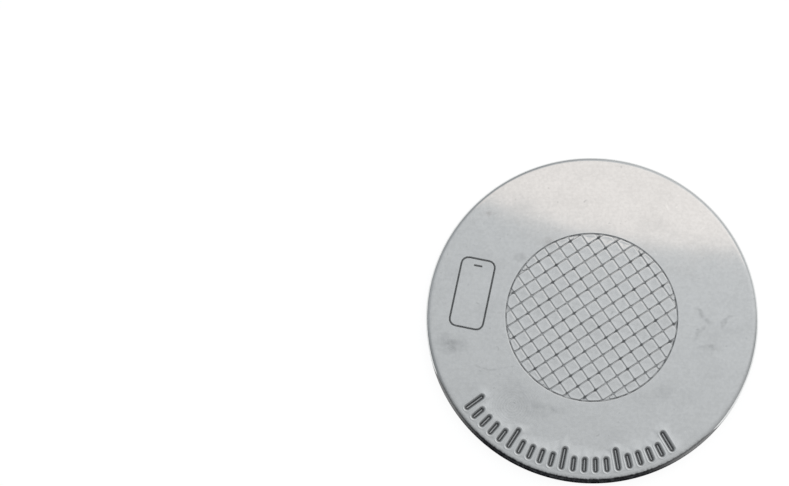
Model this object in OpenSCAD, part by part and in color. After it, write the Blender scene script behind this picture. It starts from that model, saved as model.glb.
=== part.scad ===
// Magnetic phone mount plate: one blanked and stamped steel disc that lies on its flat back.
// Sizes are in millimetres. The origin is the centre of the back, and +Z leaves the stamped face.

/* [Disc] */
// Diameter of the disc
plate_d = 38; // [36:0.5:60]
// Thickness of the sheet
plate_t = 1.5; // [1:0.1:3]
// Radius of the edge that blanking rolls over, round the stamped face
face_edge_r = 0.5; // [0.1:0.05:0.6]
// Radius of the tumbled edge round the back
back_edge_r = 0.15; // [0.05:0.05:0.2]

/* [Waffle field] */
// Diameter of the round field, over its border groove
field_d = 19.8; // [12:0.2:21]
// Distance from one pad to the next
pad_pitch = 1.46; // [1:0.02:3]
// Turn of the grooves from the X axis, in degrees
groove_turn = 45; // [0:5:90]
// Width of a groove at the surface
groove_w = 0.2; // [0.14:0.02:0.4]
// Width of a groove's floor
groove_floor_w = 0.04; // [0.02:0.02:0.1]
// Depth of a groove
groove_depth = 0.06; // [0.04:0.01:0.2]

/* [Arc scale] */
// Number of bars in the scale
bar_count = 21; // [5:2:31]
// Angle from one bar to the next, in degrees
bar_step = 4.2; // [3.5:0.1:6]
// Every so many bars, from the middle one, is a long bar
long_every = 5; // [2:1:10]
// Length of a short bar
short_bar_l = 1.8; // [1:0.1:2.4]
// Length of a long bar
long_bar_l = 2.7; // [2:0.1:4]
// Width of a bar at the surface
bar_w = 0.66; // [0.4:0.02:0.7]
// Width of a bar's floor
bar_floor_w = 0.26; // [0.1:0.02:0.36]
// Depth of a bar
bar_depth = 0.3; // [0.1:0.02:0.4]
// Plain rim between the bars and the disc's outline
scale_rim = 1; // [0.8:0.1:2]

/* [Phone mark] */
// Width of the engraved phone outline
mark_w = 3.9; // [2:0.1:4.5]
// Height of the outline
mark_h = 8.2; // [4:0.1:9]
// Radius of the outline's corners
mark_corner_r = 0.8; // [0.4:0.1:1]
// Plain gap between the waffle field and the outline
mark_gap = 2.1; // [0.8:0.1:2.6]
// Length of the speaker slot in the outline
speaker_l = 1; // [0.4:0.1:1.5]
// Distance of the speaker slot from the outline's top
speaker_drop = 0.8; // [0.5:0.1:1.5]
// Width of the engraved line at the surface
line_w = 0.22; // [0.14:0.02:0.3]
// Width of the line's floor
line_floor_w = 0.04; // [0.02:0.02:0.1]
// Depth of the line
line_depth = 0.2; // [0.05:0.01:0.25]

/* [Hidden] */
$fn = 128;
// How far a cutter stands out of the face
lift = 0.2;
plate_r = plate_d / 2;
// The border groove lies just inside the field's outline
border_r = (field_d - groove_w) / 2;
// Grooves on each side of the middle one that still reach inside the border
groove_reach = floor((border_r - groove_w) / pad_pitch);
mark_x = -(field_d / 2 + mark_gap + mark_w / 2);

// Half the width of a cutter with sloped walls, at its top above the face
function cutter_half_w(w, floor_w, depth) = w / 2 + (w - floor_w) / 2 * lift / depth;

// Section of a stamped groove: a flat floor and two sloped walls, with the face at y = 0
module groove_section(w, floor_w, depth) {
    top = cutter_half_w(w, floor_w, depth);
    polygon([[-floor_w / 2, -depth], [floor_w / 2, -depth], [top, lift], [-top, lift]]);
}

// Straight groove along X, centred on the origin, with square ends
module straight_groove(l, w, floor_w, depth) {
    rotate([90, 0, 90])
        linear_extrude(l, center = true)
            groove_section(w, floor_w, depth);
}

// Groove along an arc of radius r, from the X axis on
module arc_groove(r, angle, w, floor_w, depth) {
    rotate_extrude(angle = angle)
        translate([r, 0])
            groove_section(w, floor_w, depth);
}

// Round pit with the same sloped wall as a groove
module round_pit(w, floor_w, depth) {
    translate([0, 0, -depth])
        cylinder(h = depth + lift, r1 = floor_w / 2, r2 = cutter_half_w(w, floor_w, depth), $fn = 48);
}

// Slot of length l over its round ends, along X
module slot(l, w, floor_w, depth) {
    straight_groove(l - w, w, floor_w, depth);
    for (side = [-1, 1])
        translate([side * (l - w) / 2, 0, 0])
            round_pit(w, floor_w, depth);
}

// The blank, with a rolled edge round its face and a small round edge at its back
module blank() {
    rotate_extrude() {
        square([plate_r - face_edge_r, plate_t]);
        square([plate_r - back_edge_r, plate_t - face_edge_r]);
        translate([0, back_edge_r])
            square([plate_r, plate_t - face_edge_r - back_edge_r]);
        translate([plate_r - face_edge_r, plate_t - face_edge_r])
            circle(face_edge_r);
        translate([plate_r - back_edge_r, back_edge_r])
            circle(back_edge_r);
    }
}

// Two crossing sets of grooves inside a border groove, which leave square pads
module waffle_cut() {
    intersection() {
        union() {
            for (turn = [0, 90], i = [-groove_reach : groove_reach])
                rotate(groove_turn + turn)
                    translate([0, i * pad_pitch, 0])
                        straight_groove(field_d, groove_w, groove_floor_w, groove_depth);
        }
        cylinder(h = 2 * (groove_depth + lift), r = border_r, center = true);
    }
    arc_groove(border_r, 360, groove_w, groove_floor_w, groove_depth);
}

// Radial bars along the lower rim, with their outer ends on one arc
module scale_cut() {
    outer_r = plate_r - scale_rim;
    half = (bar_count - 1) / 2;
    for (i = [-half : half]) {
        bar_l = i % long_every == 0 ? long_bar_l : short_bar_l;
        rotate(i * bar_step - 90)
            translate([outer_r - bar_l / 2, 0, 0])
                slot(bar_l, bar_w, bar_floor_w, bar_depth);
    }
}

// Upright phone outline with a speaker slot, in one thin engraved line
module mark_cut() {
    corner_x = mark_w / 2 - mark_corner_r;
    corner_y = mark_h / 2 - mark_corner_r;
    translate([mark_x, 0, 0]) {
        for (side = [-1, 1]) {
            translate([side * mark_w / 2, 0, 0])
                rotate(90)
                    straight_groove(2 * corner_y, line_w, line_floor_w, line_depth);
            translate([0, side * mark_h / 2, 0])
                straight_groove(2 * corner_x, line_w, line_floor_w, line_depth);
        }
        for (side_x = [-1, 1], side_y = [-1, 1])
            translate([side_x * corner_x, side_y * corner_y, 0])
                rotate(atan2(side_y, side_x) - 45)
                    arc_groove(mark_corner_r, 90, line_w, line_floor_w, line_depth);
        translate([0, mark_h / 2 - speaker_drop, 0])
            slot(speaker_l, line_w, line_floor_w, line_depth);
    }
}

module plate() {
    color([0.72, 0.74, 0.75])
        difference() {
            blank();
            translate([0, 0, plate_t]) {
                waffle_cut();
                scale_cut();
                mark_cut();
            }
        }
}

plate();
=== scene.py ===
"""Looks of a magnetic phone mount plate: one stamped steel disc, lying on its back.

The steel is one mesh built here from closed loops. The rim is a revolve, and each groove, bar and
engraved line goes down from the face in a stack of loops with a soft shoulder and a soft foot. The
mesh keeps the form of the CAD node that it stands for, and adds what a stamping die leaves.
Sizes are in millimetres until a vertex is made.
"""

import math
from types import SimpleNamespace

import bmesh
import bpy
from mathutils import Euler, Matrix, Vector
from mathutils.geometry import delaunay_2d_cdt


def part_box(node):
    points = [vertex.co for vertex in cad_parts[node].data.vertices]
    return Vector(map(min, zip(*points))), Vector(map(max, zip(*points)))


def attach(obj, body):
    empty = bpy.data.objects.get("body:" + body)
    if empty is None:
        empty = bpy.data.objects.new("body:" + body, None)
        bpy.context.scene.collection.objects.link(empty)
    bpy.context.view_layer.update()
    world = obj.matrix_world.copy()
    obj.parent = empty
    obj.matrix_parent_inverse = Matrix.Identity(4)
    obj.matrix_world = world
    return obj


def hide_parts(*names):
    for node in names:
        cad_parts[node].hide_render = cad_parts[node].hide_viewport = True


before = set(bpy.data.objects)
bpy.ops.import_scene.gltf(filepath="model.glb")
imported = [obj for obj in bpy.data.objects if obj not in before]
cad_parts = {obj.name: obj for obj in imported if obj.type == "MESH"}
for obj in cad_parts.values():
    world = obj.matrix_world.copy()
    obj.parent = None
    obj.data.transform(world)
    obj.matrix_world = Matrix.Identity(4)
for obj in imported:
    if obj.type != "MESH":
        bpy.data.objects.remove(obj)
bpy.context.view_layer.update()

MM = 0.001
ORIGIN = Vector((0, 0))

# Disc, from the frame
disc_low, disc_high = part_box("plate")
PLATE_R = (disc_high.x - disc_low.x) / 2 / MM
FACE_Z = disc_high.z / MM
FACE_EDGE_R = 0.5
BACK_EDGE_R = 0.15
FLAT_R = PLATE_R - 1.5 * FACE_EDGE_R

# Waffle field
FIELD_R = 9.9
PAD_PITCH = 1.46
GROOVE_TURN = math.radians(45)
GROOVE_W = 0.2
GROOVE_FLOOR_W = 0.04
GROOVE_DEPTH = 0.06
GROOVE_SOFT = 0.038
PAD_CORNER_R = 0.11
PAD_DISH = 0.008
PAD_SIDE_STEP = 0.35
SMALLEST_PAD_AREA = 0.004
CROSSING_DEPTH = 0.03
# Wear of a pad at its rim, and at shares of the way from its middle to its rim
PAD_RIM_WEAR = 0.65
PAD_WEAR = ((0.8, 0.5), (0.55, 0.15), (0.27, 0.0))

# Arc scale
BAR_COUNT = 21
BAR_STEP = math.radians(4.2)
LONG_EVERY = 5
SHORT_BAR_L = 1.8
LONG_BAR_L = 2.7
BAR_W = 0.66
BAR_FLOOR_W = 0.26
BAR_DEPTH = 0.3
BAR_SOFT = 0.095
BAR_LIP = 0.01
SCALE_RIM = 1.0

# Phone mark
MARK_W = 3.9
MARK_H = 8.2
MARK_CORNER_R = 0.8
MARK_GAP = 2.1
SPEAKER_L = 1.0
SPEAKER_DROP = 0.8
LINE_W = 0.22
LINE_FLOOR_W = 0.04
LINE_DEPTH = 0.2
LINE_SOFT = 0.018

# Camera, fitted to the photograph
CAMERA_LENS = 118.6
SENSOR_WIDTH = 36
CAMERA_PLACE = (5.03, -61.65, 293.7)
CAMERA_TURN = (13.513, 2.851, 12.138)

# Studio
FLOOR_SIZE_M = 3
FLOOR_GLOW = 0.9
FLOOR_SHADE = 0.25
# Light of the room at its left and its right, and how far along X it blends
LEFT_LIGHT = (0.513, 0.532, 0.548, 1)
RIGHT_LIGHT = (0.845, 0.86, 0.873, 1)
SIDE_BLEND = (-0.45, 0.2)
# Dark patch: its light, its direction about Z, and how far that way and how high it begins and is full
DARK_LIGHT = (0.05, 0.052, 0.055, 1)
DARK_TURN = math.radians(284)
DARK_SIDE = (0.3, 0.68)
DARK_HEIGHT = (0.38, 0.55)
# Dimmer near side: how far towards the dark patch it begins and is full, and its share of that dark
DIM_SIDE = (-0.25, -0.05)
DIM_SHARE = 0.35
HORIZON_SHARE = 0.6
SOFTBOX_RISE = 28
SOFTBOX_EDGE = 16.1
SOFTBOX_SIZE = (52, 15)
SOFTBOX_LIGHT = 0.34
SOFTBOX_TINT = (1, 0.81, 0.68)

# Steel finish
STEEL = (0.72, 0.73, 0.73, 1)
POLISHED_STEEL = (0.81, 0.82, 0.82, 1)
# Colour of stains, of the painted shade in the recesses, and of the streaks on the torn wall
GRIME_AND_PAINTED_SHADE = (0.28, 0.29, 0.3, 1)
# Near-black painted shade at the foot of deep walls
PAINTED_FOOT_SHADE = (0.07, 0.072, 0.076, 1)
TORN_STEEL = (0.34, 0.34, 0.34, 1)
# Painted shade and dark reflection of the near side of the wall and rolled edge
TORN_STEEL_IN_PAINTED_SHADE = (0.03, 0.03, 0.034, 1)
FACE_ROUGHNESS = (0.13, 0.18)
TORN_ROUGHNESS = 0.5
WORN_SMOOTHER = 0.03
ROLLING_TURN = math.radians(11)
# Waves of each noise per millimetre
ROLLED_WAVES = (0.1, 3.5, 0.0)
CLOUD_WAVES = (0.2, 0.28, 0.0)
MOTTLE_WAVES = (1.3, 1.3, 0.0)
GRAIN_WAVES = (3.0, 3.0, 3.0)
STREAK_WAVES = (3.0, 3.0, 0.5)
# Change of tone by each noise, as a share of the whole range of tones
ROLLED_TONE = 0.05
MOTTLE_TONE = 0.04
GRAIN_TONE = 0.18
TONE_RANGE = (0.9, 1.1)
# Height of each part of the relief, in millimetres
ROLLED_RELIEF = 0.0003
CLOUD_RELIEF = 0.005
MOTTLE_RELIEF = 0.0008
GRAIN_RELIEF = 0.0008
SCRATCH_RELIEF = -0.001
PIT_RELIEF = -0.004
STREAK_RELIEF = 0.03
# Blanking has torn the wall up to this depth under the face, least and most, from one Y to another. On the
# near side the least depth carries the torn colour up into the rolled edge as painted shade and dark
# reflection
TORN_AND_PAINTED_SHADE_DEPTH = (0.03, 0.75)
TORN_AND_PAINTED_SHADE_REACH = (-11.5, -7)
# Y from which the torn wall is painted darker as shade and dark reflection of the near side, and where it
# is darkest
PAINTED_WALL_SHADE_REACH = (-12.5, -17)

# Marks of handling on the face: middle, reach along and across, turn in degrees, and strength
STAINS = [
    ((-15.0, -6.3), (1.9, 1.1), 0, 0.36),
    ((12.5, 2.6), (1.3, 0.35), -35, 0.3),
    ((15.2, 2.6), (0.8, 0.35), 60, 0.26),
    ((12.3, 0.6), (1.3, 0.3), 75, 0.26),
    ((13.6, -0.9), (1.2, 0.35), 10, 0.3),
    ((-6.6, 7.6), (0.7, 0.5), 0, 0.22),
    ((-13.7, 9.8), (0.5, 0.4), 0, 0.3),
    ((-9.6, 5.4), (0.8, 0.6), 0, 0.3),
    ((-2.8, -11.6), (2.6, 0.9), 8, 0.2),
    ((9.8, -6.8), (1.4, 0.9), 30, 0.12),
    ((-6.4, -10.4), (2.8, 1.6), -30, 0.14),
    ((-9.8, -7.9), (2.6, 0.12), 9, 0.2),
    ((11.2, 10.3), (2.4, 1.2), -20, 0.08),
]
SCRATCHES = [
    ((-14.6, 8.4), (1.9, 0.05), -52, 0.5),
    ((-13.6, 9.2), (1.5, 0.04), -48, 0.4),
    ((-11.6, 11.2), (1.7, 0.04), -75, 0.35),
    ((-11.0, -1.5), (1.6, 0.05), 12, 0.3),
    ((3.4, 13.2), (1.2, 0.04), 65, 0.4),
    ((15.6, 6.2), (1.6, 0.04), 48, 0.35),
    ((8.4, -11.2), (2.2, 0.04), 15, 0.35),
    ((13.2, -5.4), (1.3, 0.04), -70, 0.3),
]
FINGERPRINT = ((-6.8, -12.0), (3.2, 2.4), 25)
RIDGES_PER_MM = 2.1
PRINT_STRENGTH = 0.1
SMEAR_STRENGTH = 0.06
PIT_STRENGTH = 0.2
# Fine scratches: their direction, waves per millimetre across them, and how rare they are
FINE_SCRATCHES = [
    (math.radians(38), 0.9, 0.54),
    (math.radians(-64), 1.1, 0.56),
]
# Values of a noise between which nearly all of it lies
NOISE_RANGE = (0.3, 0.7)
# How far the outlines of stains and pits wander, in millimetres
STAIN_BEND = 2
PIT_CELLS_PER_MM = 0.9
# Painted shade at each crossing of the grooves: its strength, and its reach along and across as shares of
# the pitch
PAINTED_CROSSING_SHADE = 0.75
PAINTED_CROSSING_SHADE_REACH = (0.3, 0.15)
# Painted shade in the border groove of the waffle field
PAINTED_BORDER_SHADE = 0.6
# Painted shade all over the grooves of the waffle field, and over everything outside them that is stamped
PAINTED_STAMPED_SHADE = (0.06, 0.24)
# Painted shade at the foot of the bars' walls
PAINTED_FOOT_SHADE_SHARE = 0.75

# How finely the mesh is cut
DISC_SEGMENTS = 288
FIELD_SEGMENTS = 216
END_STEPS = 10
CORNER_TURN = math.radians(24)
PAD_CORNER_TURN = math.radians(30)
EDGE_STEPS = 8
FACE_GRID = 1.3
GRID_CLEARANCE = 0.45


def spokes_of_circle(segments):
    """A circle as spokes: each is the point that it leaves and the direction that it grows in."""
    turns = [2 * math.pi * i / segments for i in range(segments)]
    return [(ORIGIN, Vector((math.cos(turn), math.sin(turn)))) for turn in turns]


def spokes_of_polygon(points, largest_turn, side_step=math.inf):
    """Spokes of a convex polygon that runs anticlockwise, with a fan of them at each sharp corner.

    side_step is the distance at which a long side gets spokes of its own between its corners.
    """
    spokes = []
    for i, point in enumerate(points):
        before = point - points[i - 1]
        after = points[(i + 1) % len(points)] - point
        start = math.atan2(before.y, before.x) - math.pi / 2
        turn = (math.atan2(after.y, after.x) - math.atan2(before.y, before.x)) % (2 * math.pi)
        steps = math.ceil(turn / largest_turn)
        if steps < 2:
            angles = [start + turn / 2]
        else:
            angles = [start + turn * step / steps for step in range(steps + 1)]
        spokes += [(point, Vector((math.cos(angle), math.sin(angle)))) for angle in angles]
        parts = int(after.length / side_step) + 1
        outwards = Vector((after.y, -after.x)).normalized()
        spokes += [(point + after * part / parts, outwards) for part in range(1, parts)]
    return spokes


def spokes_of_box(width, height, centre, largest_turn):
    """Spokes that start at the corners of an upright box."""
    corners = [(1, -1), (1, 1), (-1, 1), (-1, -1)]
    points = [centre + Vector((x * width / 2, y * height / 2)) for x, y in corners]
    return spokes_of_polygon(points, largest_turn)


def spokes_of_slot(length, centre, angle):
    """Spokes of a round-ended slot, from the middles of its two ends."""
    along = Vector((math.cos(angle), math.sin(angle)))
    spokes = []
    for side in (1, -1):
        end = centre + side * length / 2 * along
        first = angle - side * math.pi / 2
        for step in range(END_STEPS + 1):
            turn = first + math.pi * step / END_STEPS
            spokes.append((end, Vector((math.cos(turn), math.sin(turn)))))
    return spokes


def shoulder(width, floor_width, depth, soft, lip=0.0):
    """Steps (inwards, height, edge) down one wall of a recess, from the plain face to its floor.

    Inwards is measured from the recess's outline. soft is the reach of the rounding at the wall's
    top, to each side, and at its foot, where the floor is wide enough. lip is the height of the
    metal that the stamp has pushed up. edge is 1 where things rub, and -1 where painted shade
    gathers in the recess.
    """
    run = (width - floor_width) / 2
    slope = depth / run
    foot = min(soft, 0.45 * floor_width)
    steps = [
        (-2.4 * soft, 0.0, 0.2),
        (-2.15 * soft, 0.4 * lip, 0.5),
        (-1.9 * soft, lip, 0.8),
        (-1.4 * soft, 0.8 * lip, 1.0),
    ]
    for share, edge in ((-1.0, 1.0), (-0.5, 1.0), (0.0, 0.7), (0.5, 0.3), (1.0, 0.0)):
        inwards = share * soft
        steps.append((inwards, -slope * (inwards + soft) ** 2 / (4 * soft), edge))
    for share, edge in ((-1.0, -0.5), (-0.5, -0.9), (0.0, -1.0), (0.5, -0.8), (1.0, -0.4)):
        inwards = run + share * foot
        steps.append((inwards, slope * (run + foot - inwards) ** 2 / (4 * foot) - depth, edge))
    return steps


def add_vert(bm, place, height, edge=0.0):
    """One vertex at a place in plan, in millimetres, and a height over the face."""
    vert = bm.verts.new(Vector((place.x, place.y, FACE_Z + height)) * MM)
    vert[bm.verts.layers.float["edge"]] = edge
    return vert


def add_loop(bm, spokes, reach, height, edge=0.0):
    """One closed loop of vertices, at reach along each spoke and height over the face."""
    return [add_vert(bm, point + reach * direction, height, edge) for point, direction in spokes]


def bridge(bm, loops):
    """Quads between each loop and the next one."""
    for first, second in zip(loops, loops[1:]):
        for i in range(len(first)):
            bm.faces.new((first[i - 1], first[i], second[i], second[i - 1]))


def fan(bm, loop, height):
    """Triangles from a loop to its middle."""
    middle = sum((vert.co.xy for vert in loop), Vector((0, 0))) / len(loop)
    centre = add_vert(bm, middle / MM, height)
    for i in range(len(loop)):
        bm.faces.new((loop[i - 1], loop[i], centre))


def inside(point, loop):
    """Whether a point lies in a convex loop, in plan."""
    for i in range(len(loop)):
        start = loop[i - 1].co.xy
        edge = loop[i].co.xy - start
        if edge.cross(point - start) < 0:
            return False
    return True


def grid_points(outer_r, holes):
    """Points over a flat area that stay clear of its outline and its holes."""
    edges = [vert.co.xy for hole in holes for vert in hole]
    reach = int(outer_r / FACE_GRID) + 1
    points = []
    for row in range(-reach, reach + 1):
        for column in range(-reach, reach + 1):
            point = Vector(((column + row % 2 / 2) * FACE_GRID, row * FACE_GRID * 0.87))
            if point.length > outer_r - GRID_CLEARANCE:
                continue
            near = any((edge - point * MM).length < GRID_CLEARANCE * MM for edge in edges)
            if not near and not any(inside(point * MM, hole) for hole in holes):
                points.append(point)
    return points


def fill_flat(bm, outer, holes, height, extra=(), extra_depth=0.0, edge=0.0):
    """Fills the area between an outer loop and the convex loops of its holes.

    Extra points between them lie extra_depth lower, and carry edge.
    """
    loops = [outer, *holes]
    verts = [vert for loop in loops for vert in loop]
    owner = [i for i, loop in enumerate(loops) for _ in loop]
    edges = []
    for loop in loops:
        first = verts.index(loop[0])
        edges += [(first + i, first + (i + 1) % len(loop)) for i in range(len(loop))]
    for point in extra:
        verts.append(add_vert(bm, point, height - extra_depth, edge))
        owner.append(-1)
    coords = [vert.co.xy / MM for vert in verts]
    _, _, triangles, sources, _, _ = delaunay_2d_cdt(coords, edges, [], 0, 1e-6)
    for triangle in triangles:
        corners = [sources[corner][0] for corner in triangle]
        owners = {owner[corner] for corner in corners}
        in_hole = len(owners) == 1 and owners.pop() > 0
        if not in_hole:
            bm.faces.new([verts[corner] for corner in corners])


def recess(bm, spokes, width, floor_width, depth, soft, lip=0.0):
    """A stamped recess, whose outline is half its width from its spokes. Returns its loop in the face."""
    steps = shoulder(width, floor_width, depth, soft, lip)
    loops = [add_loop(bm, spokes, width / 2 - inwards, height, edge) for inwards, height, edge in steps]
    bridge(bm, loops)
    bm.faces.new(loops[-1])
    return loops[0]


def engraved_box(bm, centre):
    """The phone mark's outline, a thin line round a box. Returns its loops outside and inside the line."""
    spokes = spokes_of_box(MARK_W - 2 * MARK_CORNER_R, MARK_H - 2 * MARK_CORNER_R, centre, CORNER_TURN)
    steps = shoulder(LINE_W, LINE_FLOOR_W, LINE_DEPTH, LINE_SOFT)
    outer = [(MARK_CORNER_R + LINE_W / 2 - inwards, height, edge) for inwards, height, edge in steps]
    inner = [(MARK_CORNER_R - LINE_W / 2 + inwards, height, edge) for inwards, height, edge in steps]
    loops = [add_loop(bm, spokes, *step) for step in outer + inner[::-1]]
    bridge(bm, loops)
    return loops[0], loops[-1]


def add_mark(bm):
    """The phone mark with its speaker slot and the plain face inside it. Returns its loop in the face."""
    centre = Vector((-(FIELD_R + MARK_GAP + MARK_W / 2), 0))
    outside, inside_line = engraved_box(bm, centre)
    speaker = spokes_of_slot(SPEAKER_L - LINE_W, centre + Vector((0, MARK_H / 2 - SPEAKER_DROP)), 0)
    slot = recess(bm, speaker, LINE_W, LINE_FLOOR_W, LINE_DEPTH, LINE_SOFT)
    fill_flat(bm, inside_line, [slot], 0)
    return outside


def add_bars(bm):
    """The arc scale's bars. Returns their loops in the face."""
    outer_r = PLATE_R - SCALE_RIM
    middle = BAR_COUNT // 2
    loops = []
    for i in range(-middle, middle + 1):
        length = SHORT_BAR_L if i % LONG_EVERY else LONG_BAR_L
        angle = i * BAR_STEP - math.pi / 2
        centre = (outer_r - length / 2) * Vector((math.cos(angle), math.sin(angle)))
        spokes = spokes_of_slot(length - BAR_W, centre, angle)
        loops.append(recess(bm, spokes, BAR_W, BAR_FLOOR_W, BAR_DEPTH, BAR_SOFT, BAR_LIP))
    return loops


def clip_to_circle(points, radius):
    """A convex polygon round or beside the origin, cut to a circle, with the cut edge as an arc."""
    cut = []
    pieces = []
    for i, start in enumerate(points):
        step = points[(i + 1) % len(points)] - start
        a, b, c = step.dot(step), start.dot(step), start.dot(start) - radius ** 2
        root = b * b - a * c
        if root <= 0:
            continue
        enter = max(0.0, (-b - math.sqrt(root)) / a)
        leave = min(1.0, (-b + math.sqrt(root)) / a)
        if enter < leave:
            pieces.append((start + enter * step, start + leave * step))
    for i, (enter, leave) in enumerate(pieces):
        leaving = pieces[i - 1][1]
        if (enter - leaving).length > 1e-6:
            cut += arc_between(leaving, enter, radius)
        cut += [enter, leave]
    return without_repeats(cut)


def arc_between(start, end, radius):
    """Points on a circle round the origin, anticlockwise from start to end, without those two."""
    first = math.atan2(start.y, start.x)
    turn = (math.atan2(end.y, end.x) - first) % (2 * math.pi)
    steps = max(1, math.ceil(turn * FIELD_SEGMENTS / (2 * math.pi)))
    angles = [first + turn * step / steps for step in range(1, steps)]
    return [radius * Vector((math.cos(angle), math.sin(angle))) for angle in angles]


def without_repeats(points):
    """The points without any that lies on the one before it."""
    return [point for i, point in enumerate(points) if (point - points[i - 1]).length > 1e-4]


def area_of(points):
    """Area of a polygon."""
    return sum(points[i - 1].cross(point) for i, point in enumerate(points)) / 2


def pad_outlines():
    """Outlines of the waffle field's pads, each shrunk by its corner radius."""
    half = (PAD_PITCH - GROOVE_W) / 2 - PAD_CORNER_R
    reach = math.ceil(FIELD_R / PAD_PITCH)
    turn = Vector((math.cos(GROOVE_TURN), math.sin(GROOVE_TURN)))
    across = Vector((-turn.y, turn.x))
    outlines = []
    for row in range(-reach, reach):
        for column in range(-reach, reach):
            middle = (column + 0.5) * PAD_PITCH * turn + (row + 0.5) * PAD_PITCH * across
            corners = [(1, -1), (1, 1), (-1, 1), (-1, -1)]
            square = [middle + half * (x * turn + y * across) for x, y in corners]
            outline = clip_to_circle(square, FIELD_R - GROOVE_W - PAD_CORNER_R)
            if len(outline) > 2 and area_of(outline) > SMALLEST_PAD_AREA:
                outlines.append(outline)
    return outlines


def add_pad(bm, outline):
    """One slightly dished pad with its walls. Returns its loop on the field's floor."""
    spokes = spokes_of_polygon(outline, PAD_CORNER_TURN, PAD_SIDE_STEP)
    steps = shoulder(GROOVE_W, GROOVE_FLOOR_W, GROOVE_DEPTH, GROOVE_SOFT)
    steps[0] = (*steps[0][:2], PAD_RIM_WEAR)
    loops = [add_loop(bm, spokes, PAD_CORNER_R + inwards, height, edge) for inwards, height, edge in steps]
    bridge(bm, loops[::-1])
    top = [vert.co.xy / MM for vert in loops[0]]
    middle = sum(top, Vector((0, 0))) / len(top)
    dish_loops = [loops[0]]
    for share, edge in PAD_WEAR:
        drop = PAD_DISH * (1 - share ** 2)
        dish_loops.append([add_vert(bm, middle.lerp(place, share), -drop, edge) for place in top])
    bridge(bm, dish_loops)
    fan(bm, dish_loops[-1], -PAD_DISH)
    return loops[-1]


def crossings():
    """Middles of the places where two grooves of the waffle field cross."""
    reach = math.ceil(FIELD_R / PAD_PITCH)
    steps = range(-reach, reach + 1)
    turn = Vector((math.cos(GROOVE_TURN), math.sin(GROOVE_TURN)))
    across = Vector((-turn.y, turn.x))
    points = [PAD_PITCH * (column * turn + row * across) for row in steps for column in steps]
    return [point for point in points if point.length < FIELD_R - GROOVE_W - PAD_CORNER_R]


def add_waffle(bm):
    """The waffle field. Returns its outer loop in the face."""
    steps = shoulder(GROOVE_W, GROOVE_FLOOR_W, GROOVE_DEPTH, GROOVE_SOFT)
    border = spokes_of_circle(FIELD_SEGMENTS)
    loops = [add_loop(bm, border, FIELD_R - inwards, height, edge) for inwards, height, edge in steps]
    bridge(bm, loops)
    pads = [add_pad(bm, outline) for outline in pad_outlines()]
    fill_flat(bm, loops[-1], pads, -GROOVE_DEPTH, crossings(), CROSSING_DEPTH, -1.0)
    return loops[0]


def add_rim(bm):
    """The disc's edge and back. Returns its loop in the face."""
    steps = [(FLAT_R, 0.0)]
    for step in range(EDGE_STEPS + 1):
        turn = math.pi / 2 * step / EDGE_STEPS
        steps.append((PLATE_R - FACE_EDGE_R * (1 - math.sin(turn)), FACE_EDGE_R * (math.cos(turn) - 1)))
    for step in range(EDGE_STEPS + 1):
        turn = math.pi / 2 * step / EDGE_STEPS
        reach = PLATE_R - BACK_EDGE_R * (1 - math.cos(turn))
        steps.append((reach, BACK_EDGE_R * (1 - math.sin(turn)) - FACE_Z))
    steps += [(share * PLATE_R, -FACE_Z) for share in (0.97, 0.7, 0.4)]
    spokes = spokes_of_circle(DISC_SEGMENTS)
    loops = [add_loop(bm, spokes, reach, height) for reach, height in steps]
    bridge(bm, loops[::-1])
    fan(bm, loops[-1][::-1], -FACE_Z)
    return loops[0]


def make_steel():
    """The whole disc as one closed mesh."""
    bm = bmesh.new()
    bm.verts.layers.float.new("edge")
    holes = [add_waffle(bm), *add_bars(bm), add_mark(bm)]
    outer = add_rim(bm)
    fill_flat(bm, outer, holes, 0, grid_points(FLAT_R, holes))
    bmesh.ops.recalc_face_normals(bm, faces=bm.faces)
    for face in bm.faces:
        face.smooth = True
    mesh = bpy.data.meshes.new("stamped_disc")
    bm.to_mesh(mesh)
    bm.free()
    disc = bpy.data.objects.new("stamped_disc", mesh)
    bpy.context.scene.collection.objects.link(disc)
    return disc


def add_node(tree, kind, inputs=None, **settings):
    """A shader node, with its settings and with a value or a link on each named input."""
    node = tree.nodes.new(kind)
    for name, setting in settings.items():
        setattr(node, name, setting)
    for name, value in (inputs or {}).items():
        if isinstance(value, bpy.types.NodeSocket):
            tree.links.new(value, node.inputs[name])
        else:
            node.inputs[name].default_value = value
    return node


def calculate(tree, operation, *terms):
    """The outcome of a sum on numbers or sockets, worked through from the first term to the last."""
    total = terms[0]
    for term in terms[1:]:
        total = add_node(tree, "ShaderNodeMath", {0: total, 1: term}, operation=operation).outputs[0]
    return total


def vector_sum(tree, operation, first, second):
    """The vector that a sum on two vectors gives."""
    return add_node(tree, "ShaderNodeVectorMath", {0: first, 1: second}, operation=operation).outputs[0]


def vector_number(tree, operation, first, second=(0, 0, 0)):
    """The number that a sum on two vectors gives."""
    inputs = {0: first, 1: second}
    return add_node(tree, "ShaderNodeVectorMath", inputs, operation=operation).outputs["Value"]


def axes_of(tree, vector):
    """The three numbers of a vector."""
    return add_node(tree, "ShaderNodeSeparateXYZ", {0: vector}).outputs


def remap(tree, value, low, high, to_low=0.0, to_high=1.0, kind="SMOOTHSTEP"):
    """A value moved from one range to another, and held at the ends."""
    ends = {"Value": value, "From Min": low, "From Max": high, "To Min": to_low, "To Max": to_high}
    return add_node(tree, "ShaderNodeMapRange", ends, interpolation_type=kind).outputs[0]


def either_way(tree, texture, most):
    """A noise turned into a change of at most this much, up or down."""
    return remap(tree, texture, *NOISE_RANGE, -most, most)


def blend(tree, share, first, second):
    """Two colours blended by a share."""
    inputs = {0: share, 6: first, 7: second}
    return add_node(tree, "ShaderNodeMix", inputs, data_type="RGBA").outputs[2]


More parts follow.
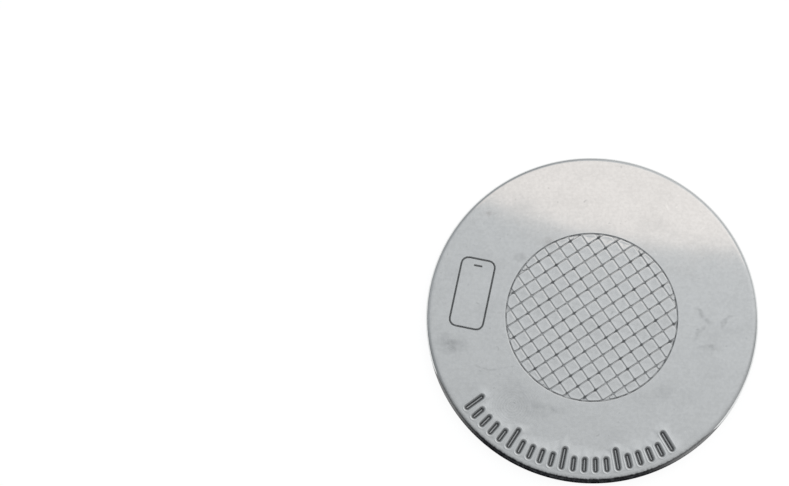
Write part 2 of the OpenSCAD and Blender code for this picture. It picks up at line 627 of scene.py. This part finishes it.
def turned(tree, place, turn, centre=(0, 0)):
    """The place as seen along a direction that is turned about Z."""
    inputs = {"Vector": place, "Center": (*centre, 0), "Angle": -turn}
    return add_node(tree, "ShaderNodeVectorRotate", inputs, rotation_type="Z_AXIS").outputs[0]


def noise(tree, place, per_mm, detail=2.0, turn=0.0):
    """Soft noise with its own number of waves per millimetre along each axis, turned about Z."""
    stretched = vector_sum(tree, "MULTIPLY", turned(tree, place, turn), per_mm)
    inputs = {"Vector": stretched, "Scale": 1.0, "Detail": detail}
    return add_node(tree, "ShaderNodeTexNoise", inputs).outputs["Fac"]


def oval(tree, flat, middle, reach, turn):
    """A share that falls from 1 in the middle of an oval to 0 past its outline."""
    straight = turned(tree, flat, math.radians(turn), middle)
    away = vector_sum(tree, "SUBTRACT", straight, (*middle, 0))
    outwards = vector_number(tree, "LENGTH", vector_sum(tree, "DIVIDE", away, (*reach, 1)))
    return remap(tree, outwards, 1.4, 0.2)


def ovals(tree, flat, marks):
    """The summed shares of a list of oval marks, each by its strength."""
    shares = []
    for middle, reach, turn, strength in marks:
        shares.append(calculate(tree, "MULTIPLY", oval(tree, flat, middle, reach, turn), strength))
    return calculate(tree, "ADD", *shares)


def fine_scratches(tree, flat, turn, spread, rarity):
    """Long thin scratches in one direction, where a stretched noise crosses its middle, in patches."""
    line = noise(tree, flat, (0.05, spread, 0.0), 0.0, turn)
    off_line = calculate(tree, "SUBTRACT", line, 0.5)
    off_line = calculate(tree, "MAXIMUM", off_line, calculate(tree, "MULTIPLY", off_line, -1))
    on_line = remap(tree, off_line, 0.004 * spread, 0.0)
    patch = remap(tree, noise(tree, flat, (0.16, 0.3, 0.0), 1.0, turn + 0.7), rarity, rarity + 0.06)
    return calculate(tree, "MULTIPLY", on_line, patch)


def pits(tree, flat):
    """Small dark pits: the middles of a few random cells."""
    inputs = {"Vector": flat, "Scale": PIT_CELLS_PER_MM}
    cells = add_node(tree, "ShaderNodeTexVoronoi", inputs, voronoi_dimensions="2D")
    dot = remap(tree, cells.outputs["Distance"], 0.13, 0.05)
    chosen = remap(tree, axes_of(tree, cells.outputs["Color"])["X"], 0.86, 0.98)
    return calculate(tree, "MULTIPLY", dot, chosen)


def fingerprint(tree, flat):
    """Faint wavy ridges that a finger has left."""
    middle, reach, turn = FINGERPRINT
    away = vector_sum(tree, "SUBTRACT", flat, (*middle, 0))
    inputs = {
        "Vector": away,
        "Scale": RIDGES_PER_MM / 2,
        "Distortion": 3.0,
        "Detail": 1.0,
        "Detail Scale": 0.6,
    }
    rings = add_node(tree, "ShaderNodeTexWave", inputs, wave_type="RINGS", rings_direction="Z")
    return calculate(tree, "MULTIPLY", rings.outputs["Fac"], oval(tree, flat, middle, reach, turn))


def whereabouts(tree):
    """Where a point of the disc is, in millimetres: whole, flat in plan, and bent a little for stains.

    on_face is a share that is 1 over the stamped side and 0 at the back.
    """
    source = add_node(tree, "ShaderNodeTexCoord").outputs["Object"]
    place = vector_sum(tree, "MULTIPLY", source, (1 / MM, 1 / MM, 1 / MM))
    flat = vector_sum(tree, "MULTIPLY", place, (1, 1, 0))
    wobble = add_node(tree, "ShaderNodeTexNoise", {"Vector": flat, "Scale": 0.6, "Detail": 3.0})
    centred = vector_sum(tree, "SUBTRACT", wobble.outputs["Color"], (0.5, 0.5, 0.5))
    bend = vector_sum(tree, "MULTIPLY", centred, (STAIN_BEND, STAIN_BEND, 0))
    axes = axes_of(tree, place)
    return SimpleNamespace(
        place=place,
        flat=flat,
        bent=vector_sum(tree, "ADD", flat, bend),
        radius=vector_number(tree, "LENGTH", flat),
        y=axes["Y"],
        z=axes["Z"],
        on_face=remap(tree, axes["Z"], FACE_Z / 3, FACE_Z / 2),
    )


def sheet_finish(tree, at):
    """What rolling and tumbling leave all over the sheet, as noises about 0.5."""
    return SimpleNamespace(
        rolled=noise(tree, at.flat, ROLLED_WAVES, 3.0, ROLLING_TURN),
        clouds=noise(tree, at.flat, CLOUD_WAVES, 4.0, ROLLING_TURN),
        mottle=noise(tree, at.flat, MOTTLE_WAVES, 4.0),
        grain=noise(tree, at.place, GRAIN_WAVES, 3.0),
    )


def handling(tree, at, finish, patchy):
    """Stains, pits, a fingerprint and scratches on the face, as shares."""
    stains = calculate(tree, "MULTIPLY", ovals(tree, at.bent, STAINS), patchy, at.on_face)
    smear = remap(tree, finish.clouds, 0.5, 0.75, 0.0, SMEAR_STRENGTH)
    pitted = calculate(tree, "MULTIPLY", pits(tree, at.bent), PIT_STRENGTH)
    print_left = calculate(tree, "MULTIPLY", fingerprint(tree, at.flat), at.on_face, PRINT_STRENGTH)
    scratched = calculate(
        tree, "MAXIMUM",
        calculate(tree, "MULTIPLY", ovals(tree, at.flat, SCRATCHES), at.on_face),
        *(fine_scratches(tree, at.flat, *scratches) for scratches in FINE_SCRATCHES),
    )
    return SimpleNamespace(
        soiled=calculate(tree, "ADD", stains, smear, pitted, print_left),
        pitted=pitted,
        scratched=scratched,
    )


def painted_crossing_shade(tree, at):
    """A share of painted shade that rises towards each crossing of the waffle field's grooves."""
    lattice = vector_sum(tree, "DIVIDE", turned(tree, at.flat, GROOVE_TURN), (PAD_PITCH, PAD_PITCH, 1))
    shifted = vector_sum(tree, "ADD", lattice, (0.5, 0.5, 0))
    in_cell = vector_sum(tree, "FRACTION", shifted, (0, 0, 0))
    in_field = remap(tree, at.radius, FIELD_R, FIELD_R - GROOVE_W, 0.0, PAINTED_CROSSING_SHADE)
    return calculate(tree, "MULTIPLY", oval(tree, in_cell, (0.5, 0.5), PAINTED_CROSSING_SHADE_REACH, 0), in_field)


def painted_border_shade(tree, at):
    """A share of painted shade that is high in the border groove of the waffle field."""
    inner = remap(tree, at.radius, FIELD_R - 1.5 * GROOVE_W, FIELD_R - 0.6 * GROOVE_W, 0.0, PAINTED_BORDER_SHADE)
    return calculate(tree, "MULTIPLY", inner, remap(tree, at.radius, FIELD_R + GROOVE_W, FIELD_R))


def painted_recess_shade(tree, at, edge, patchy):
    """Painted shade in what is stamped into the face: some in all of it, and darkest at the foot of deep
    walls.
    """
    edge_starts = PLATE_R - FACE_EDGE_R
    inboard = remap(tree, at.radius, edge_starts - 0.05, edge_starts - 0.25)
    sunk = remap(tree, at.z, FACE_Z - 0.012, FACE_Z - 0.04)
    stamped_shade = remap(tree, at.radius, FIELD_R - 0.3, FIELD_R - 0.1, *PAINTED_STAMPED_SHADE)
    grime_and_painted_shade = calculate(
        tree, "MAXIMUM",
        calculate(tree, "MULTIPLY", stamped_shade, sunk),
        calculate(tree, "MULTIPLY", painted_crossing_shade(tree, at), sunk, patchy),
        calculate(tree, "MULTIPLY", painted_border_shade(tree, at), sunk, patchy),
        # Painted shade at the foot of each wall, and deep in the bars and lines
        remap(tree, edge, -0.2, -1.0, 0.0, 0.06),
        remap(tree, at.z, FACE_Z - 0.1, FACE_Z - 0.28, 0.0, 0.1),
    )
    painted_foot_shade = calculate(
        tree, "MULTIPLY",
        remap(tree, at.z, FACE_Z - 0.06, FACE_Z - 0.24, 0.0, PAINTED_FOOT_SHADE_SHARE),
        remap(tree, edge, -0.3, -0.9),
    )
    return SimpleNamespace(
        grime_and_painted_shade=calculate(tree, "MULTIPLY", grime_and_painted_shade, inboard),
        painted_foot_shade=calculate(tree, "MULTIPLY", painted_foot_shade, inboard, at.on_face),
    )


def torn_wall_and_painted_shade(tree, at):
    """The part of the wall that blanking has torn, as a share, with its colour and its streaks. Towards
    the near side the share reaches into the rolled edge and the colour turns near black: painted shade and
    dark reflection.
    """
    streaks = noise(tree, at.place, STREAK_WAVES, 3.0)
    torn_and_painted_shade_from = remap(tree, at.y, *TORN_AND_PAINTED_SHADE_REACH, *TORN_AND_PAINTED_SHADE_DEPTH)
    depth = calculate(tree, "SUBTRACT", FACE_Z, at.z, torn_and_painted_shade_from, either_way(tree, streaks, 0.012))
    edge_starts = PLATE_R - FACE_EDGE_R
    outermost = remap(tree, at.radius, edge_starts - 0.2, edge_starts)
    colour = blend(tree, remap(tree, at.y, *PAINTED_WALL_SHADE_REACH), TORN_STEEL, TORN_STEEL_IN_PAINTED_SHADE)
    return SimpleNamespace(
        share=calculate(tree, "MULTIPLY", remap(tree, depth, -0.04, 0.04), outermost),
        colour=blend(tree, remap(tree, streaks, 0.35, 0.8, 0.0, 0.25), colour, GRIME_AND_PAINTED_SHADE),
        streaks=streaks,
    )


def new_material(name):
    """A material, with its node tree and its shader."""
    material = bpy.data.materials.new(name)
    material.use_nodes = True
    return material, material.node_tree, material.node_tree.nodes["Principled BSDF"]


def shade_of(colour, share):
    """A colour made darker or lighter."""
    return (*(part * share for part in colour[:3]), 1)


def steel_material():
    """Tumbled sheet steel with worn edges, marks of handling, painted shade in its recesses, and a torn
    wall painted dark on the near side as shade and dark reflection.
    """
    material, tree, shader = new_material("satin_steel")
    shader.inputs["Metallic"].default_value = 1
    at = whereabouts(tree)
    finish = sheet_finish(tree, at)
    edge = add_node(tree, "ShaderNodeAttribute", attribute_name="edge").outputs["Fac"]
    patchy = remap(tree, finish.mottle, 0.3, 0.65, 0.25, 1.0)
    marks = handling(tree, at, finish, patchy)
    recess_shade = painted_recess_shade(tree, at, edge, patchy)
    wall = torn_wall_and_painted_shade(tree, at)
    polished = calculate(tree, "MULTIPLY", remap(tree, edge, 0.0, 1.0), patchy)
    # Stains of handling, and the painted shade of the recesses
    grime_and_painted_shade = calculate(tree, "MAXIMUM", marks.soiled, recess_shade.grime_and_painted_shade)

    # Colour
    tone = calculate(
        tree, "ADD",
        either_way(tree, finish.rolled, ROLLED_TONE),
        either_way(tree, finish.mottle, MOTTLE_TONE),
        either_way(tree, finish.grain, GRAIN_TONE),
        0.5,
    )
    bare = blend(tree, tone, *(shade_of(STEEL, share) for share in TONE_RANGE))
    bare = blend(tree, calculate(tree, "MAXIMUM", polished, marks.scratched), bare, POLISHED_STEEL)
    # The foot of deep walls takes near-black painted shade
    face = blend(tree, recess_shade.painted_foot_shade, blend(tree, grime_and_painted_shade, bare, GRIME_AND_PAINTED_SHADE), PAINTED_FOOT_SHADE)
    # On the near side the torn wall's colour is near-black painted shade and dark reflection
    tree.links.new(blend(tree, wall.share, face, wall.colour), shader.inputs["Base Color"])
    # The wall's colour also tints its reflections, a painted dark reflection on the near side
    tree.links.new(blend(tree, wall.share, (1, 1, 1, 1), wall.colour), shader.inputs["Specular Tint"])

    # Roughness
    rough = calculate(
        tree, "ADD",
        remap(tree, finish.clouds, *NOISE_RANGE, *FACE_ROUGHNESS),
        either_way(tree, finish.mottle, 0.015),
        calculate(tree, "MULTIPLY", grime_and_painted_shade, 0.4),
        recess_shade.grime_and_painted_shade,
        calculate(tree, "MULTIPLY", recess_shade.painted_foot_shade, 0.3),
        calculate(tree, "MULTIPLY", polished, -WORN_SMOOTHER),
    )
    rough = add_node(tree, "ShaderNodeMix", {0: wall.share, 2: rough, 3: TORN_ROUGHNESS}).outputs[0]
    tree.links.new(rough, shader.inputs["Roughness"])

    # Relief, in millimetres
    relief = calculate(
        tree, "ADD",
        calculate(tree, "MULTIPLY", finish.rolled, ROLLED_RELIEF),
        calculate(tree, "MULTIPLY", finish.clouds, CLOUD_RELIEF),
        calculate(tree, "MULTIPLY", finish.mottle, MOTTLE_RELIEF),
        calculate(tree, "MULTIPLY", finish.grain, GRAIN_RELIEF),
        calculate(tree, "MULTIPLY", marks.scratched, SCRATCH_RELIEF),
        calculate(tree, "MULTIPLY", marks.pitted, PIT_RELIEF),
        calculate(tree, "MULTIPLY", wall.streaks, wall.share, STREAK_RELIEF),
    )
    bump = add_node(tree, "ShaderNodeBump", {"Height": relief, "Distance": MM})
    tree.links.new(bump.outputs[0], shader.inputs["Normal"])
    return material


def floor_material():
    """Matt white that also glows to the camera and in reflections, so that the floor reads as white."""
    material, tree, shader = new_material("pale_floor")
    shader.inputs["Base Color"].default_value = (FLOOR_SHADE, FLOOR_SHADE, FLOOR_SHADE, 1)
    shader.inputs["Roughness"].default_value = 0.9
    shader.inputs["Specular IOR Level"].default_value = 0
    shader.inputs["Emission Color"].default_value = (1, 1, 1, 1)
    path = add_node(tree, "ShaderNodeLightPath").outputs
    rays = ("Is Camera Ray", "Is Glossy Ray", "Is Transmission Ray")
    seen = calculate(tree, "MAXIMUM", *(path[ray] for ray in rays))
    tree.links.new(calculate(tree, "MULTIPLY", seen, FLOOR_GLOW), shader.inputs["Emission Strength"])
    return material


def make_floor():
    """The pale floor that the disc lies on."""
    bpy.ops.mesh.primitive_plane_add(size=FLOOR_SIZE_M)
    floor = bpy.context.object
    floor.name = "floor"
    floor.data.materials.append(floor_material())


def make_camera():
    """The photograph's view: a long lens from above the near edge, with the disc low at the right."""
    data = bpy.data.cameras.new("camera")
    data.sensor_width = SENSOR_WIDTH
    data.lens = CAMERA_LENS
    camera = bpy.data.objects.new("camera", data)
    camera.location = Vector(CAMERA_PLACE) * MM
    camera.rotation_euler = Euler([math.radians(angle) for angle in CAMERA_TURN])
    bpy.context.scene.collection.objects.link(camera)
    bpy.context.scene.camera = camera


def make_world():
    """A pale room, lighter at the right and dimmer at the near side, with a dark patch high up there."""
    world = bpy.data.worlds.new("studio")
    world.use_nodes = True
    tree = world.node_tree
    background = tree.nodes["Background"]
    direction = add_node(tree, "ShaderNodeTexCoord").outputs["Generated"]
    axes = axes_of(tree, direction)
    pale = blend(tree, remap(tree, axes["X"], *SIDE_BLEND), LEFT_LIGHT, RIGHT_LIGHT)
    dark_side = (math.cos(DARK_TURN), math.sin(DARK_TURN), 0)
    toward_dark = vector_number(tree, "DOT_PRODUCT", direction, dark_side)
    dark = calculate(
        tree, "MULTIPLY",
        remap(tree, toward_dark, *DARK_SIDE),
        remap(tree, axes["Z"], *DARK_HEIGHT),
    )
    dark = calculate(tree, "MAXIMUM", dark, remap(tree, toward_dark, *DIM_SIDE, 0.0, DIM_SHARE, "LINEAR"))
    tree.links.new(blend(tree, dark, pale, DARK_LIGHT), background.inputs["Color"])
    strength = remap(tree, axes["Z"], 0.0, 1.0, HORIZON_SHARE, 1.0, kind="LINEAR")
    tree.links.new(strength, background.inputs["Strength"])
    bpy.context.scene.world = world


def make_softbox():
    """A rounded softbox above the far side, whose near edge is reflected in the disc's face."""
    width, reach = SOFTBOX_SIZE
    data = bpy.data.lights.new("far_softbox", "AREA")
    data.shape = "ELLIPSE"
    data.size = width * MM
    data.size_y = reach * MM
    data.energy = SOFTBOX_LIGHT * math.pi * (math.pi / 4 * data.size * data.size_y)
    data.color = SOFTBOX_TINT
    softbox = bpy.data.objects.new("far_softbox", data)
    softbox.location = Vector((0, SOFTBOX_EDGE + reach / 2, SOFTBOX_RISE)) * MM
    softbox.visible_camera = False
    bpy.context.scene.collection.objects.link(softbox)


disc = make_steel()
disc.data.materials.append(steel_material())
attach(disc, "root")
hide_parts("plate")
make_floor()
make_camera()
make_world()
make_softbox()
bpy.context.scene.view_settings.view_transform = "Standard"
